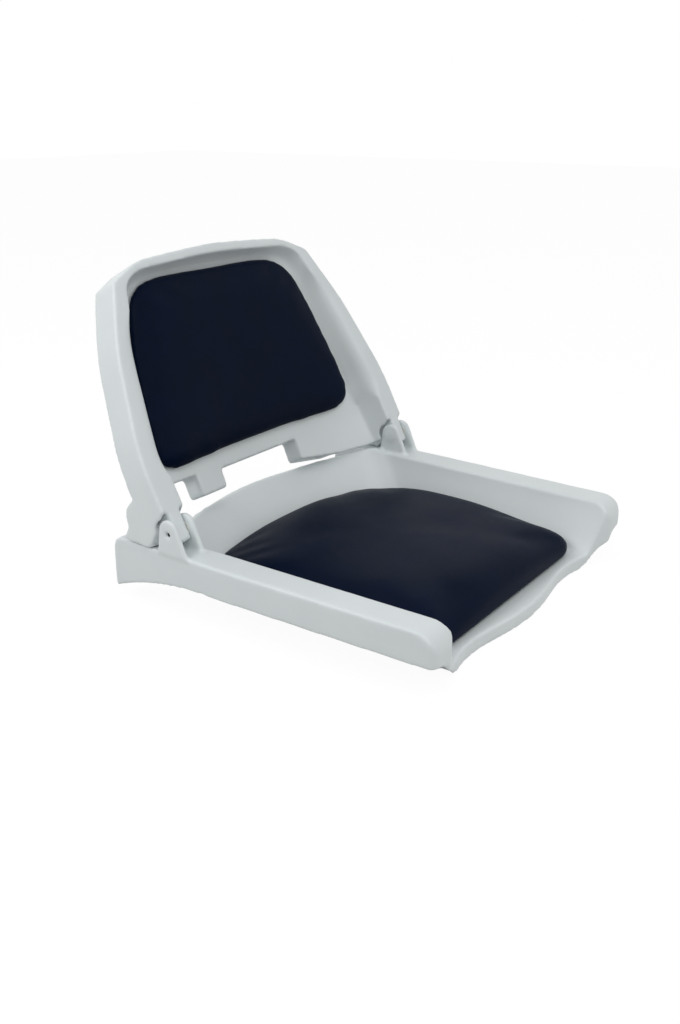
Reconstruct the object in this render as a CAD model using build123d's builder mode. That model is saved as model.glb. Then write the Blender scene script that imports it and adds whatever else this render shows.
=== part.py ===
from build123d import *
from math import cos, pi, radians, sin
import os

os.makedirs("parts", exist_ok=True)

# A folding boat seat. X runs across, the front is towards -Y, and +Z is up.
# The origin is the centre of the bolt pattern on the mounting face, under the pan.

# Driving sizes shared by the whole seat
wall = 4.0
overrun = 20.0
fit_gap = 0.3
running_gap = 0.05
recline = radians(27.5)

# Side rails of the seat
rail_half_rear = 250.0
rail_half_ear = 251.5
rail_half_front = 242.5
rail_width = 35.0
rail_top = 82.5
rail_under = 43.0
rail_heel_under = 13.0
rail_front = 223.0
rail_rear = 236.0
rail_tail_lean = 6.0
rail_slope_start = 70.0
rail_nose_radius = 26.0
rail_tail_radius = 16.0
rail_heel_radius = 5.0
rail_corner_radius = 10.0

# Front lip of the pan, a soft wave in plan
lip_front = 213.0
lip_wave_end = 198.0
lip_wave_end_front = 216.0
lip_turn_start = 186.0
apron_half = 232.0

# Bowl between the rails, and its back wall
floor_top = 18.0
bowl_half = 211.0
bowl_rear = 222.0
bowl_toe = 7.5
bowl_corner = 55.0
back_wall_top = 73.0
collar_top = 88.0

# Underside: a skirt round the pan, ribs, and a boss at each mounting bolt
skirt_half = 172.0
skirt_rear = 166.0
skirt_corner = 30.0
rib = 3.0
rib_pitch_x = 63.5
rib_pitch_y = 63.5
rib_rows_x = 5
rib_rows_y = 6
rib_front = 200.0
boss_radius = 11.0
bolt_pitch = 127.0
bolt_bore = 3.3
insert_radius = 6.0
insert_length = 12.0

# Hinge: two ears on each rail with the tongue of the backrest between them
ear_span = 504.0
outer_ear = 6.5
inner_ear = 8.0
ear_slot = 21.0
ear_radius = 14.5
ear_lift = 3.5
ear_foot_front = 29.0
ear_foot_rear = 19.0
ear_boss_radius = 8.0
ear_boss_height = 1.5
hinge_y = 134.0
hinge_z = 107.0
pin_radius = 3.2
pin_recess = 3.5
pin_end_gap = 0.5
bush_wall = 2.0
washer_thickness = 0.8
washer_radius = 9.0
washer_gap = 0.15

# Backrest: sizes along it are measured up from the hinge axis, depths back from the rim
back_half = 253.0
back_height = 330.0
rim_ahead = 8.3
rim_depth = 42.0
rim_corner = 14.0
rim_crown = 120.0
side_bow_low = 260.0
side_bow_high = 300.0
crown_round = 900.0
dish_half = 217.5
dish_height = 317.0
dish_corner = 28.0
dish_crown = 60.0
dish_draft = 8
panel_reach = 262.0
panel_deep = 68.0
flange_depth = 29.0
flange_reach = 140.0
wing_flange = 9.0
tab_outer = 130.0
tab_inner = 78.0
tab_drop = 24.0
opening_top = 49.0
notch_outer = 188.0
notch_top = 53.0
wing_inner_drop = 19.0
wing_middle = 150.0
wing_middle_drop = 5.5
wing_outer_drop = -2.0
edge_radius = 4.0
tongue_radius = 15.0
skin_top = 30.4
skin_front = -14.0
skin_end = -6.0
skin_end_behind = 33.5
heel_reach = 73.5

# Cushions
cover = 1.5
seat_pad_half = 187.0
seat_pad_front = 192.0
seat_pad_rear = 167.0
seat_pad_rise = 48.0
back_pad_half = 205.0
back_pad_low = 62.0
back_pad_high = 303.0
back_pad_rise = 28.0
pad_rounding = 14.0
pad_gap = 0.3
board = 9.5
board_inset = 17.0
board_corner = 44.0
hem = 34.0
staple_line = 26.0

# Cushion fixings
screw_radius = 3.0
screw_head_radius = 5.5
screw_head = 3.5
screw_washer_radius = 8.0
screw_washer = 1.5
tee_radius = 4.2
tee_flange_radius = 9.0
tee_flange = 1.2
tee_length = 8.0
screw_boss_radius = 10.0
screw_boss = 7.0
back_screw_half = 90.0
back_screw_low = 110.0
back_screw_high = 250.0
staple_crown = 10.0
staple_wire = 1.0
staple_leg = 5.0
staple_pitch = 46.0
staple_sink = 2.0
staples_across = 6
staples_up = 4

# Places of the cushion screws
seat_screws = [(x * rib_pitch_x, y * rib_pitch_y) for x in (-1.5, 1.5) for y in (-1.5, 1.5)]
back_screws = [(x, v) for v in (back_screw_low, back_screw_high) for x in (back_screw_half, -back_screw_half)]

# Derived places
ear_outer_face = ear_span / 2
slot_outer = ear_outer_face - outer_ear
slot_inner = slot_outer - ear_slot
ear_inner_face = slot_inner - inner_ear
slot_middle = (slot_outer + slot_inner) / 2
bowl_depth = rail_top - floor_top
pan_under = floor_top - wall
up_the_back = (0, sin(recline), cos(recline))
out_of_rim = (0, -cos(recline), sin(recline))


def side(along, behind):
    """Place in the Y-Z plane of a point up along the backrest and behind the hinge axis."""
    y = hinge_y + along * sin(recline) + behind * cos(recline)
    z = hinge_z + along * cos(recline) - behind * sin(recline)
    return (y, z)


def across(along, setback=0.0):
    """Plane across the backrest at a height along it: X to the side, local Y to the rear."""
    y, z = side(along, setback - rim_ahead)
    return Plane(origin=(0, y, z), x_dir=(1, 0, 0), z_dir=up_the_back)


def facing(setback):
    """Plane parallel to the rim, set back from it: X to the side, local Y up the back."""
    y, z = side(0, setback - rim_ahead)
    return Plane(origin=(0, y, z), x_dir=(1, 0, 0), z_dir=out_of_rim)


# Seat shell: plan outline with the waved lip between the rail ends
wave_x_shares = (0.0, 0.30, 0.586, 0.84)
wave_y_shares = (1.0, 0.975, 0.939, 0.967)
wave_end_slope_share = -0.4
rail_end_share = 0.9


def wide(place):
    """Whether a place is on the outer side of a rail."""
    return abs(place.X) > rail_half_front - rail_corner_radius


def plan_outline(inset):
    """The outline of the seat from above, drawn inwards by an inset."""
    wave = [(s * lip_wave_end, inset - t * lip_front) for s, t in zip(wave_x_shares, wave_y_shares)]
    wave_end = (lip_wave_end, inset - lip_wave_end_front)
    with BuildSketch() as outline:
        with BuildLine():
            Spline(*wave, wave_end, tangents=((1, 0), (1, wave_end_slope_share)))
            Polyline(
                wave_end,
                (rail_half_front - rail_width, inset - rail_front),
                (rail_half_front - inset, inset - rail_front),
                (rail_half_ear - inset, hinge_y - ear_foot_front),
                (rail_half_ear - inset, hinge_y + ear_foot_rear),
                (rail_half_rear - inset, rail_rear - inset),
                (0, rail_rear - inset),
            )
            mirror(about=Plane.YZ)
        make_face()
        rail_ends = outline.vertices().filter_by(lambda v: rail_end_share * rail_front < abs(v.Y) and wide(v))
        fillet(rail_ends, radius=rail_corner_radius - inset)
    return outline.sketch


# The rails' underside arches down to the tail
slope_mid_share = 0.625
slope_drop_share = 0.333


def rail_profile(inset, under):
    """The seat from the side: level rails with a rounded nose and tail, deeper at the rear."""
    front = -rail_front + inset
    rear = rail_rear - inset
    top = rail_top - inset
    slope_mid = rail_slope_start + (rail_rear - rail_slope_start) * slope_mid_share
    low_mid = rail_under + (rail_heel_under - rail_under) * slope_drop_share
    with BuildSketch(Plane.YZ) as profile:
        with BuildLine():
            ThreePointArc(
                (rail_slope_start, rail_under - under),
                (slope_mid, low_mid - under),
                (rear, rail_heel_under - under),
            )
            Polyline(
                (rear, rail_heel_under - under),
                (rear - rail_tail_lean, top),
                (front, top),
                (front, rail_under - under),
                (rail_slope_start, rail_under - under),
            )
        make_face()
        fillet(profile.vertices().group_by(Axis.Y)[-1].sort_by(Axis.X)[0], radius=rail_nose_radius - inset)
        fillet(profile.vertices().group_by(Axis.Y)[-1].sort_by(Axis.X)[-1], radius=rail_tail_radius - inset)
        fillet(profile.vertices().group_by(Axis.X)[-1], radius=rail_heel_radius)
    return profile.sketch


# How the lip's underside turns up, across and upwards
lip_turn_shares = (
    (0.94, 0.0), (1.02, 0.28), (1.10, 0.89), (1.21, 1.56), (1.28, 2.2), (1.35, 2.4), (1.5, 2.4),
)

# The bowl widens and runs back as it rises. Heights are shares of its depth.
bowl_height_shares = (0.0, 0.2, 0.5, 0.85, 1.22)
bowl_half_shares = (0.858, 0.900, 0.945, 0.988, 1.012)
bowl_rear_shares = (0.690, 0.785, 0.887, 1.0, 1.10)
bowl_side_shares = (0.515, 0.565, 0.610, 0.662, 0.72)


def bowl_sections(grow):
    """Outlines of the bowl from the floor up, grown by the wall for its outer face."""
    sections = []
    levels = zip(bowl_height_shares, bowl_half_shares, bowl_rear_shares, bowl_side_shares)
    for rise, half_share, rear_share, side_share in levels:
        half = bowl_half * half_share + grow
        rear = bowl_rear * rear_share + grow
        corner = bowl_rear * side_share + grow
        height = floor_top + bowl_depth * rise - grow
        with BuildSketch(Plane.XY.offset(height)) as level:
            with BuildLine():
                front = -rail_front - overrun
                Polyline((half, corner), (half - bowl_toe, front), (-half + bowl_toe, front), (-half, corner))
                ThreePointArc((-half, corner), (0, rear), (half, corner))
            make_face()
            corners = level.vertices().filter_by(lambda v: v.Y > 0)
            fillet(corners, radius=bowl_corner)
        sections.append(level.sketch)
    return sections


with BuildPart() as bowl_space:
    loft(sections=bowl_sections(0))

with BuildPart() as bowl_body:
    loft(sections=bowl_sections(wall))

# Everything above this line is trimmed off the back wall: a low edge that rises to a collar
collar_y_shares = (0.60, 0.655, 0.70, 0.79, 0.86, 0.93, 1.1)
collar_z_shares = (0.0, 1.0, 0.88, 0.48, 0.32, 0.12, 0.0)
with BuildPart() as back_wall_trim:
    with BuildSketch(Plane.YZ) as trim:
        places = []
        for y_share, z_share in zip(collar_y_shares, collar_z_shares):
            low = rail_top if y_share < collar_y_shares[1] else back_wall_top
            places.append((rail_rear * y_share, low + (collar_top - low) * z_share))
        with BuildLine():
            Polyline(
                *places,
                (places[-1][0], hinge_z),
                (-rail_front - overrun, hinge_z),
                (-rail_front - overrun, rail_top),
                close=True,
            )
        make_face()
    extrude(amount=ear_inner_face + wall, both=True)

# Rails as hollow channels, open below, with a closing wall on the inner side of each tail
rail_inner_rear = bowl_half + wall / 2
with BuildPart() as rails:
    extrude(rail_profile(0, 0), amount=rail_half_rear, both=True)
    extrude(plan_outline(0), amount=hinge_z, mode=Mode.INTERSECT)
    with BuildSketch():
        with BuildLine():
            inner_rear = rail_inner_rear - wall
            inner_front = inner_rear - bowl_toe
            toe_start = bowl_rear * bowl_side_shares[-1]
            Polyline(
                (0, rail_rear + overrun),
                (inner_rear, rail_rear + overrun),
                (inner_rear, toe_start),
                (inner_front, -rail_front - overrun),
                (0, -rail_front - overrun),
            )
            mirror(about=Plane.YZ)
        make_face()
    extrude(amount=hinge_z, mode=Mode.SUBTRACT)

with BuildPart() as rail_hollow:
    extrude(rail_profile(wall, rail_under + overrun), amount=rail_half_rear, both=True)
    extrude(plan_outline(wall), amount=hinge_z, mode=Mode.INTERSECT)
    with BuildSketch():
        with Locations((0, (rail_rear + bowl_rear * bowl_side_shares[-1]) / 2)):
            Rectangle(2 * rail_inner_rear, rail_rear - bowl_rear * bowl_side_shares[-1])
    extrude(amount=hinge_z, mode=Mode.SUBTRACT)


# One ear, drawn as the hull of its rounded top and its foot on the rail
def ear_profile(foot_drop):
    """An ear from the side, with a rounded head over the hinge axis and a spread foot."""
    foot = rail_top - foot_drop
    with BuildSketch(Plane.YZ) as profile:
        with BuildLine():
            CenterArc((hinge_y, hinge_z + ear_lift), ear_radius, 0, 360)
            Line((hinge_y - ear_foot_front, foot), (hinge_y + ear_foot_rear, foot))
        make_hull()
    return profile.sketch


with BuildPart() as seat_shell:
    add(rails.part)
    add(rail_hollow.part, mode=Mode.SUBTRACT)
    add(bowl_body.part)
    # Skirt round the flat underside of the pan
    with BuildSketch():
        with Locations((0, (skirt_rear - rail_front - overrun) / 2)):
            RectangleRounded(2 * skirt_half, skirt_rear + rail_front + overrun, skirt_corner)
    extrude(amount=floor_top + wall)
    extrude(plan_outline(0), amount=hinge_z, mode=Mode.INTERSECT)
    # Apron from the lip to the front of each rail
    for hand in (-1, 1):
        with BuildSketch():
            add(plan_outline(0))
            add(plan_outline(wall), mode=Mode.SUBTRACT)
            with Locations((hand * (apron_half + skirt_half) / 2, -rail_front)):
                Rectangle(apron_half - skirt_half + 2 * wall, 2 * overrun, mode=Mode.INTERSECT)
        extrude(amount=rail_top - rail_nose_radius)
    # Hollow under the pan, inside the skirt
    with BuildSketch():
        add(plan_outline(wall))
        with Locations((0, (skirt_rear - rail_front - overrun) / 2)):
            RectangleRounded(
                2 * (skirt_half - wall),
                skirt_rear + rail_front + overrun - 2 * wall,
                skirt_corner - wall,
                mode=Mode.INTERSECT,
            )
    extrude(amount=pan_under, mode=Mode.SUBTRACT)
    # Ribs and bolt bosses fill that hollow
    with BuildSketch():
        with Locations((0, (skirt_rear - rib_front) / 2)):
            with GridLocations(rib_pitch_x, 0, rib_rows_x, 1):
                Rectangle(rib, skirt_rear + rib_front - wall)
        with Locations((0, -rib_pitch_y / 2)):
            with GridLocations(0, rib_pitch_y, 1, rib_rows_y):
                Rectangle(2 * skirt_half - wall, rib)
        with GridLocations(bolt_pitch, bolt_pitch, 2, 2):
            Circle(boss_radius)
    extrude(amount=floor_top - wall / 2)
    add(bowl_space.part, mode=Mode.SUBTRACT)
    add(back_wall_trim.part, mode=Mode.SUBTRACT)
    # The bowl's sides follow the rounded noses of the rails
    with BuildSketch(Plane.YZ):
        with BuildLine():
            nose_y = rail_nose_radius - rail_front
            nose_z = rail_top - rail_nose_radius
            bend = rail_nose_radius * cos(pi / 4)
            ThreePointArc((-rail_front, nose_z), (nose_y - bend, nose_z + bend), (nose_y, rail_top))
            Polyline(
                (nose_y, rail_top),
                (nose_y, hinge_z),
                (-rail_front - overrun, hinge_z),
                (-rail_front - overrun, nose_z),
                (-rail_front, nose_z),
            )
        make_face()
    extrude(amount=rail_half_rear, both=True, mode=Mode.SUBTRACT)
    # The lower corners of the lip turn up towards the rails
    for hand in (-1, 1):
        with BuildSketch(Plane.XZ.offset(lip_turn_start)):
            with BuildLine():
                turn = [(hand * x * skirt_half, z * floor_top) for x, z in lip_turn_shares]
                Polyline(*turn, (turn[-1][0], -overrun), (turn[0][0], -overrun), close=True)
            make_face()
        extrude(amount=overrun + rail_front - lip_turn_start, mode=Mode.SUBTRACT)
    # Seats for the threaded inserts, pressed in from below
    with BuildSketch():
        with GridLocations(bolt_pitch, bolt_pitch, 2, 2):
            Circle(insert_radius)
    extrude(amount=insert_length, mode=Mode.SUBTRACT)
    # Holes for the screws that hold the cushion
    with BuildSketch(Plane.XY.offset(pan_under - wall)):
        with Locations(*seat_screws):
            Circle(screw_radius + fit_gap)
    extrude(amount=3 * wall, mode=Mode.SUBTRACT)
    # Hinge ears, each with its bore for the pin
    for hand in (-1, 1):
        extrude(ear_profile(wall / 2).moved(Location((hand * slot_outer, 0, 0))), amount=hand * outer_ear)
        extrude(ear_profile(wall / 2).moved(Location((hand * slot_inner, 0, 0))), amount=-hand * inner_ear)
        with BuildSketch(Plane.YZ.offset(hand * ear_inner_face)):
            with Locations((hinge_y, hinge_z)):
                Circle(ear_boss_radius)
        extrude(amount=-hand * ear_boss_height)
        with BuildSketch(Plane.YZ.offset(hand * (ear_inner_face + pin_end_gap))):
            with Locations((hinge_y, hinge_z)):
                Circle(pin_radius)
        extrude(amount=hand * (ear_outer_face - ear_inner_face), mode=Mode.SUBTRACT)

seat_shell.part.label = "seat_shell"
export_step(seat_shell.part, "parts/seat_shell.step")


# Backrest outlines, seen square to the rim, as shares of the half width and height
rim_shares = ((1.0, -0.12), (1.0, 0.288), (0.879, 0.658), (0.735, 0.906), (0.553, 0.973), (0.0, 1.0))
rim_rounds = (side_bow_low, side_bow_high, rim_corner, rim_crown)
dish_shares = ((1.0, -0.20), (1.0, 0.268), (0.885, 0.672), (0.763, 0.934), (0.644, 0.975), (0.0, 1.0))
dish_rounds = (side_bow_low, side_bow_high, dish_corner, dish_crown)


def rim_outline(plane, shares, rounds, half, height, inset):
    """A symmetrical outline on the backrest, from shares of its half width and height."""
    right = [(x * half, v * height) for x, v in shares[:-1]]
    left = [(-x, v) for x, v in reversed(right)]
    top = (0, shares[-1][1] * height)
    with BuildSketch(plane) as outline:
        with BuildLine():
            Polyline(*right, top, *left, close=True)
        make_face()
        for place, radius in zip(right[1:], rounds):
            near = outline.vertices().filter_by(
                lambda v: abs(abs(v.X) - place[0]) + abs(v.Y - place[1]) < edge_radius
            )
            fillet(near, radius=radius)
        fillet(outline.vertices().group_by(Axis.Y)[-1], radius=crown_round)
        if inset:
            offset(amount=-inset, mode=Mode.REPLACE)
    return outline.sketch


# Depth of the panel behind the rim, at its middle and near its sides, as shares
panel_height_shares = (-0.15, 0.07, 0.206, 0.545, 0.88, 1.05)
panel_middle_shares = (0.97, 1.0, 0.93, 0.72, 0.47, 0.36)
panel_side_shares = (0.31, 0.32, 0.42, 0.38, 0.24, 0.16)


def panel_depth(across_x, height):
    """Depth of the panel behind the rim at a place on it."""
    share = height / back_height
    for n in range(len(panel_height_shares) - 1):
        low, high = panel_height_shares[n], panel_height_shares[n + 1]
        if low <= share <= high:
            t = (share - low) / (high - low)
            middle = panel_middle_shares[n] * (1 - t) + panel_middle_shares[n + 1] * t
            edge = panel_side_shares[n] * (1 - t) + panel_side_shares[n + 1] * t
    return panel_deep * (middle - (middle - edge) * (across_x / panel_reach) ** 2)


def panel_space(shift):
    """The space in front of the dished panel, moved back by a shift."""
    sections = []
    for height, middle, edge in zip(panel_height_shares, panel_middle_shares, panel_side_shares):
        front = -overrun - wall
        with BuildSketch(across(height * back_height)) as section:
            with BuildLine():
                corner = (panel_reach, edge * panel_deep + shift)
                mirrored = (-panel_reach, edge * panel_deep + shift)
                Polyline(corner, (panel_reach, front), (-panel_reach, front), mirrored)
                ThreePointArc(mirrored, (0, middle * panel_deep + shift), corner)
            make_face()
        sections.append(section.sketch)
    with BuildPart() as space:
        loft(sections=sections)
    return space.part


panel_front = panel_space(0)

# The dish is the drafted hollow inside the rim, as deep as the panel
dish_mouth = rim_outline(facing(0), dish_shares, dish_rounds, dish_half, dish_height, 0)
dish_edge = rim_outline(facing(0), dish_shares, dish_rounds, dish_half, dish_height, -wall)
with BuildPart() as dish_space:
    extrude(dish_mouth, amount=-2 * panel_deep, taper=dish_draft)
    add(panel_front, mode=Mode.INTERSECT)

with BuildPart() as dish_body:
    extrude(dish_edge, amount=-2 * panel_deep, taper=dish_draft)
    add(panel_space(wall), mode=Mode.INTERSECT)

# Lower edge of the panel: a wide hand opening, a stop tab beside it and a notch by one rail
lower_edge = [
    (-slot_inner, wing_outer_drop),
    (-notch_outer, wing_outer_drop),
    (-notch_outer, notch_top),
    (-tab_outer, notch_top),
    (-tab_outer, tab_drop),
    (-tab_inner, tab_drop),
    (-tab_inner, opening_top),
    (tab_inner, opening_top),
    (tab_inner, wing_inner_drop),
    (wing_middle, wing_middle_drop),
    (slot_inner, wing_outer_drop),
]
below = -back_height * rim_shares[0][1] * 2


def lower_cut(grow):
    """Everything under the panel's lower edge, grown by the wall for the flange behind it."""
    with BuildSketch(facing(-overrun)) as region:
        with BuildLine():
            Polyline(*lower_edge, (slot_inner, -below), (-slot_inner, -below), close=True)
        make_face()
        high = region.vertices().filter_by(lambda v: v.Y > wing_middle_drop)
        corners = high.filter_by(lambda v: abs(v.X) < notch_outer + edge_radius)
        fillet(corners, radius=edge_radius)
        if grow:
            offset(amount=grow, mode=Mode.REPLACE)
    return region.sketch


# A flange runs back from the lower edge, deep behind the opening and shallow by the rails
with BuildPart() as flange:
    extrude(lower_cut(wall), amount=-2 * panel_deep - overrun)
    extrude(lower_cut(0), amount=-2 * panel_deep - overrun, mode=Mode.SUBTRACT)
    with BuildSketch(facing(-overrun)):
        Rectangle(2 * (slot_inner - inner_ear - wall), 2 * (notch_top + wall))
    extrude(amount=-2 * panel_deep - overrun, mode=Mode.INTERSECT)
    add(panel_space(flange_depth), mode=Mode.INTERSECT)
    add(panel_front, mode=Mode.SUBTRACT)

with BuildPart() as flange_limit:
    with BuildSketch(facing(-overrun)):
        with Locations((flange_reach + slot_inner, 0), (-flange_reach - slot_inner, 0)):
            Rectangle(2 * slot_inner, 2 * notch_top + 2 * overrun)
    extrude(amount=-2 * panel_deep - overrun)
    add(panel_space(wing_flange), mode=Mode.SUBTRACT)

# The hinge end: both skins of each rail stop at a line behind the ears, the tongue carries on
ear_room = ear_radius + ear_lift + 3 * fit_gap


def under_skin(start, end, head_room):
    """The space under the skin line between two places across, both sides, with room for an ear."""
    with BuildPart() as space:
        for hand in (-1, 1):
            with BuildSketch(Plane.YZ.offset(hand * start)):
                with BuildLine():
                    Polyline(
                        side(skin_top, skin_front),
                        side(skin_end, skin_end_behind),
                        side(skin_end, skin_end_behind + wall),
                        side(-below, skin_end_behind + wall),
                        side(-below, -below),
                        side(skin_top, -below),
                        close=True,
                    )
                make_face()
                if head_room:
                    with Locations((hinge_y, hinge_z)):
                        Circle(head_room)
            extrude(amount=hand * (end - start))
    return space.part


# The tongue between the ears, with its rounded end, and the heel that rests on the rail
heel_along_shares = (-0.113, 0.125, 0.224, 0.347, 0.490, 0.633, 0.728)
heel_behind_shares = (0.486, 0.939, 1.0, 0.816, 0.782, 0.707, 0.463)
heel_places = [side(v * heel_reach, w * heel_reach) for v, w in zip(heel_along_shares, heel_behind_shares)]
tongue_half = (ear_slot - 2 * washer_thickness - 4 * washer_gap) / 2
bush_bore = pin_radius + running_gap
bush_radius = bush_bore + bush_wall
with BuildPart() as hinge_end:
    for hand in (-1, 1):
        with BuildSketch(Plane.YZ.offset(hand * (slot_middle - tongue_half))):
            with Locations((hinge_y, hinge_z)):
                Circle(tongue_radius)
            with BuildLine():
                Polyline(
                    side(0, -tongue_radius),
                    side(skin_top + edge_radius, -tongue_radius),
                    side(skin_top + edge_radius, tongue_radius),
                    side(0, tongue_radius),
                    close=True,
                )
            make_face()
            with BuildLine():
                Polyline(
                    side(skin_top + edge_radius, -rim_ahead),
                    side(-back_height, -rim_ahead),
                    side(-back_height, -back_height),
                    side(skin_top + edge_radius, -back_height),
                    close=True,
                )
            make_face(mode=Mode.SUBTRACT)
        extrude(amount=hand * 2 * tongue_half)
        with BuildSketch(Plane.YZ.offset(hand * (slot_middle - tongue_half))):
            with BuildLine():
                Polyline(*heel_places, side(0, tongue_radius - wall), close=True)
            make_face()
        extrude(amount=hand * (back_half - slot_middle + tongue_half))

with BuildPart() as backrest_shell:
    extrude(rim_outline(facing(0), rim_shares, rim_rounds, back_half, back_height, 0), amount=-rim_depth)
    extrude(
        rim_outline(facing(wall), rim_shares, rim_rounds, back_half, back_height, wall),
        amount=-2 * rim_depth,
        mode=Mode.SUBTRACT,
    )
    add(dish_body.part)
    # Flat seats behind the panel for the heads of the cushion screws
    for x, v in back_screws:
        with BuildSketch(facing(panel_depth(x, v) + screw_boss)):
            with Locations((x, v)):
                Circle(screw_boss_radius)
        extrude(amount=screw_boss)
    add(dish_space.part, mode=Mode.SUBTRACT)
    extrude(lower_cut(0), amount=-2 * panel_deep - overrun, mode=Mode.SUBTRACT)
    add(flange.part - flange_limit.part)
    add(under_skin(ear_inner_face - fit_gap, back_half + wall, 0), mode=Mode.SUBTRACT)
    add(hinge_end.part)
    add(under_skin(slot_outer - washer_gap, back_half + wall, ear_room), mode=Mode.SUBTRACT)
    inner_start = ear_inner_face - ear_boss_height - fit_gap
    add(under_skin(inner_start, slot_inner + washer_gap, ear_room), mode=Mode.SUBTRACT)
    # Bore of each tongue, with the bush pressed into it, and the screw holes of the cushion
    for hand in (-1, 1):
        with BuildSketch(Plane.YZ.offset(hand * (slot_middle - tongue_half))):
            with Locations((hinge_y, hinge_z)):
                Circle(bush_radius)
        extrude(amount=hand * 2 * tongue_half, mode=Mode.SUBTRACT)
    with BuildSketch(facing(0)):
        with Locations(*back_screws):
            Circle(screw_radius + fit_gap)
    extrude(amount=-2 * panel_deep, mode=Mode.SUBTRACT)

backrest_shell.part.label = "backrest_shell"
export_step(backrest_shell.part, "parts/backrest_shell.step")


# Hinge pins, bushes and washers, one set a side
def ring(start, length, outer, inner):
    """A round piece on the hinge axis, solid where its inner radius is zero."""
    with BuildPart() as piece:
        with BuildSketch(Plane.YZ.offset(start)):
            with Locations((hinge_y, hinge_z)):
                Circle(outer)
                if inner:
                    Circle(inner, mode=Mode.SUBTRACT)
        extrude(amount=length)
    return piece.part


for hand, name in ((-1, "left"), (1, "right")):
    pin_start = ear_inner_face + pin_end_gap
    pin_length = ear_outer_face - pin_recess - pin_start
    pin = ring(hand * pin_start, hand * pin_length, pin_radius, 0)
    pin.label = "hinge_pin_" + name
    export_step(pin, "parts/hinge_pin_" + name + ".step")

    bush_start = slot_middle - tongue_half
    bush = ring(hand * bush_start, hand * 2 * tongue_half, bush_radius, bush_bore)
    bush.label = "hinge_bush_" + name
    export_step(bush, "parts/hinge_bush_" + name + ".step")

    inner_washer = ring(hand * (slot_inner + washer_gap), hand * washer_thickness, washer_radius, bush_bore)
    outer_start = slot_outer - washer_gap - washer_thickness
    outer_washer = ring(hand * outer_start, hand * washer_thickness, washer_radius, bush_bore)
    washers = Compound(children=[inner_washer, outer_washer])
    washers.label = "hinge_washers_" + name
    export_step(washers, "parts/hinge_washers_" + name + ".step")

# Threaded inserts in the bosses
with BuildPart() as mount_inserts:
    with BuildSketch():
        with GridLocations(bolt_pitch, bolt_pitch, 2, 2):
            Circle(insert_radius)
            Circle(bolt_bore, mode=Mode.SUBTRACT)
    extrude(amount=insert_length)

mount_inserts.part.label = "mount_inserts"
export_step(mount_inserts.part, "parts/mount_inserts.step")

# Sections of a cushion: bellied sides and a crowned top over a flat or hollow base
foot_share = 0.96
shoulder_share = 0.93
belly_share = 0.5


def pad_section(plane, half, foot_base, base, rise, rounding):
    """One section across a cushion. The base may bow away behind it at the middle."""
    foot = half * foot_share
    top = half * shoulder_share
    shoulder = foot_base + rise * shoulder_rise_share
    belly = foot_base + rise * shoulder_rise_share * belly_share
    with BuildSketch(plane) as section:
        with BuildLine():
            if base == foot_base:
                Line((-foot, base), (foot, base))
            else:
                ThreePointArc((-foot, foot_base), (0, base), (foot, foot_base))
            ThreePointArc((foot, foot_base), (half, belly), (top, shoulder))
            ThreePointArc((top, shoulder), (0, foot_base + rise), (-top, shoulder))
            ThreePointArc((-top, shoulder), (-half, belly), (-foot, foot_base))
        make_face()
        edge = section.vertices().filter_by(lambda v: abs(v.Y - shoulder) < fit_gap)
        fillet(edge, radius=rounding)
    return section.sketch


# Seat cushion: stations from front to rear, as shares of its length, half width and rise
seat_length_shares = (0.0, 0.035, 0.13, 0.38, 0.66, 0.87, 0.965, 1.0)
seat_half_shares = (0.86, 0.925, 0.975, 1.0, 1.0, 0.975, 0.90, 0.80)
seat_rise_shares = (0.34, 0.62, 0.86, 1.0, 1.0, 0.86, 0.62, 0.40)
shoulder_rise_share = 0.68
seat_base = floor_top + pad_gap
board_base = seat_base + cover


def seat_pad(shrink):
    """The seat cushion's body, drawn in by the cover for what it holds."""
    sections = []
    length = seat_pad_front + seat_pad_rear - 2 * shrink
    for along, half, rise in zip(seat_length_shares, seat_half_shares, seat_rise_shares):
        place = -seat_pad_front + shrink + along * length
        plane = Plane(origin=(0, place, 0), x_dir=(1, 0, 0), z_dir=(0, -1, 0))
        width = half * seat_pad_half - shrink
        base = seat_base + shrink
        height = rise * seat_pad_rise - 2 * shrink
        sections.append(pad_section(plane, width, base, base, height, pad_rounding * rise))
    with BuildPart() as pad:
        loft(sections=sections)
    with BuildPart() as room:
        loft(sections=bowl_sections(-pad_gap - shrink))
    return pad.part & room.part


def seat_plate(inset, low, high):
    """A flat plate under the seat cushion, inset from its edge and from the bowl's wall."""
    with BuildPart() as plate:
        with BuildSketch(Plane.XY.offset(low)):
            with Locations((0, (seat_pad_rear - seat_pad_front) / 2)):
                RectangleRounded(
                    2 * (seat_pad_half - inset),
                    seat_pad_front + seat_pad_rear - 2 * inset,
                    board_corner,
                )
        extrude(amount=high - low)
    return plate.part & bowl_space.part.moved(Location((0, -inset, 0)))


# Fixings of both cushions, each set on a plane that faces the cushion
standing = (Align.CENTER, Align.CENTER, Align.MIN)


def rod(plane, start, length, radius, bore=0):
    """A round piece standing on a plane, from a start along its normal."""
    with BuildPart(plane) as piece:
        with Locations((0, 0, start)):
            Cylinder(radius, length, align=standing)
            if bore:
                Cylinder(bore, length, align=standing, mode=Mode.SUBTRACT)
    return piece.part


def staple(plane):
    """A staple with its crown on a plane and its legs driven in along the normal."""
    reach = (staple_crown - staple_wire) / 2
    with BuildPart(plane) as piece:
        Box(staple_crown, staple_wire, staple_wire, align=standing)
        with Locations((reach, 0, 0), (-reach, 0, 0)):
            Box(staple_wire, staple_wire, staple_leg, align=standing)
    return piece.part


def export_group(solids, name):
    """Several like pieces kept as separate solids of one part."""
    group = Compound(children=list(solids))
    group.label = name
    export_step(group, "parts/" + name + ".step")


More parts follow.
